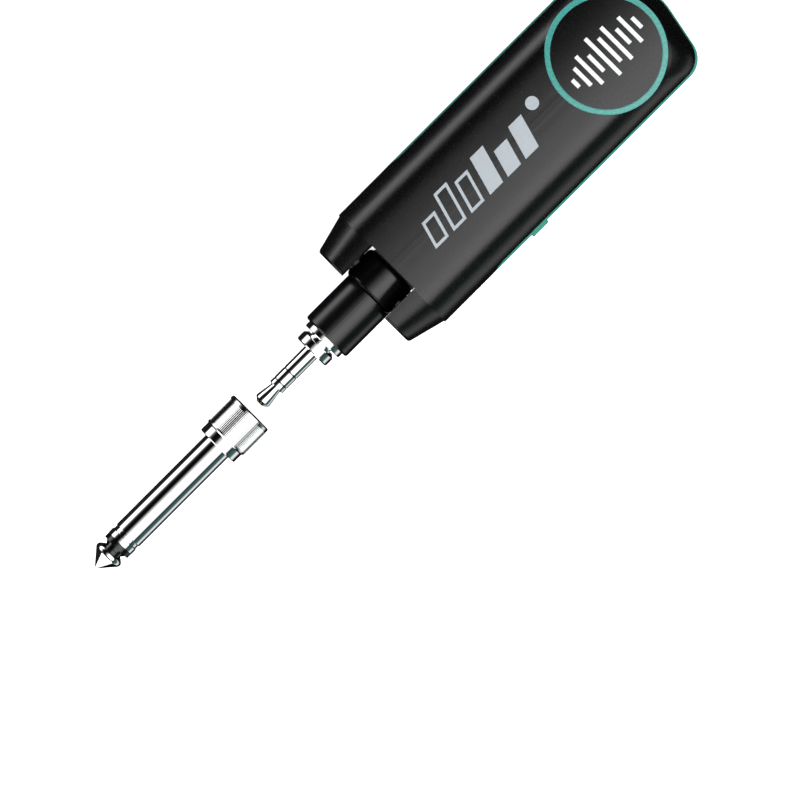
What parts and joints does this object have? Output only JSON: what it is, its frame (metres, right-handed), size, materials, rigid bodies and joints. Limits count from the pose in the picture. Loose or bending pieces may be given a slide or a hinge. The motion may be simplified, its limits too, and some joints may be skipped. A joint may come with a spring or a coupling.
{
  "type": "wireless guitar transmitter",
  "caption": "Slim rounded wireless transmitter with a folding 3.5 mm plug at its forked nose and a detached 6.35 mm jack adapter in line with it.",
  "frame": {"origin": "on the plane of the rear face, under the plug arm's hinge axis, which is midway between the tail and the detached adapter's point", "axes": "+X from the plug towards the tail, +Z out of the front face, the power button on the -Y side"},
  "size_m": [0.16, 0.0306, 0.0207],
  "materials": {
    "shell": "satin black moulded plastic",
    "yoke": "satin black moulded plastic",
    "arm": "semi-gloss black moulded plastic",
    "band": "satin teal moulded plastic",
    "ring": "teal anodised-look gloss ring",
    "disc": "fine satin black",
    "plug_chrome": "bright nickel plating",
    "jack_chrome": "bright nickel plating",
    "knurl": "straight knurl, nickel plated",
    "insulator": "dark moulded insulator",
    "steel": "turned steel",
    "port_metal": "stamped stainless steel",
    "board": "green solder mask",
    "package": "moulded chip package",
    "cell_wrap": "aluminium-laminate pouch",
    "foam": "black foam",
    "brass": "spring brass",
    "copper": "bare copper strip",
    "light": "clear moulded diode"
  },
  "bodies": {
    "housing": {"front_shell": "shell", "rear_shell": "shell", "hinge_yoke": "yoke", "pin_cap": "yoke", "side_band": "band", "front_ring": "ring", "rear_ring": "ring", "front_disc": "disc", "rear_disc": "disc", "housing_screws": "steel", "hinge_pin": "steel", "usb_bezel": "port_metal", "usb_shell": "port_metal", "usb_tongue": "insulator", "circuit_board": "board", "rf_shield": "port_metal", "radio_chip": "package", "audio_chip": "package", "charge_chip": "package", "crystal": "port_metal", "status_light": "light", "antenna": "copper", "battery_cell": "cell_wrap", "battery_pad": "foam", "tact_switch": "package"},
    "plug_arm": {"arm_barrel": "arm", "arm_cover": "arm", "hinge_washers": "insulator", "plug_base": "plug_chrome", "lock_ring": "plug_chrome", "plug_sleeve": "plug_chrome", "plug_ring": "plug_chrome", "plug_insulator": "insulator", "plug_tip": "plug_chrome"},
    "jack_adapter": {"adapter_collar": "knurl", "adapter_sleeve": "jack_chrome", "adapter_insulator": "insulator", "adapter_contact": "brass", "adapter_tip": "jack_chrome"},
    "button": {"power_button": "band", "switch_plunger": "insulator"}
  },
  "joints": [
    {"name": "plug_fold", "type": "hinge", "parent": "housing", "child": "plug_arm", "pos_m": [0, 0, 0.01025], "axis": [0, 1, 0], "range_deg": [-125, 80]},
    {"name": "adapter_slide", "type": "slide", "parent": "plug_arm", "child": "jack_adapter", "axis": [1, 0, 0], "range_m": [0, 0.0199]},
    {"name": "power_button_press", "type": "slide", "parent": "housing", "child": "button", "axis": [0, 1, 0], "range_m": [0, 0.0003], "stiffness_N_per_m": 800}
  ]
}
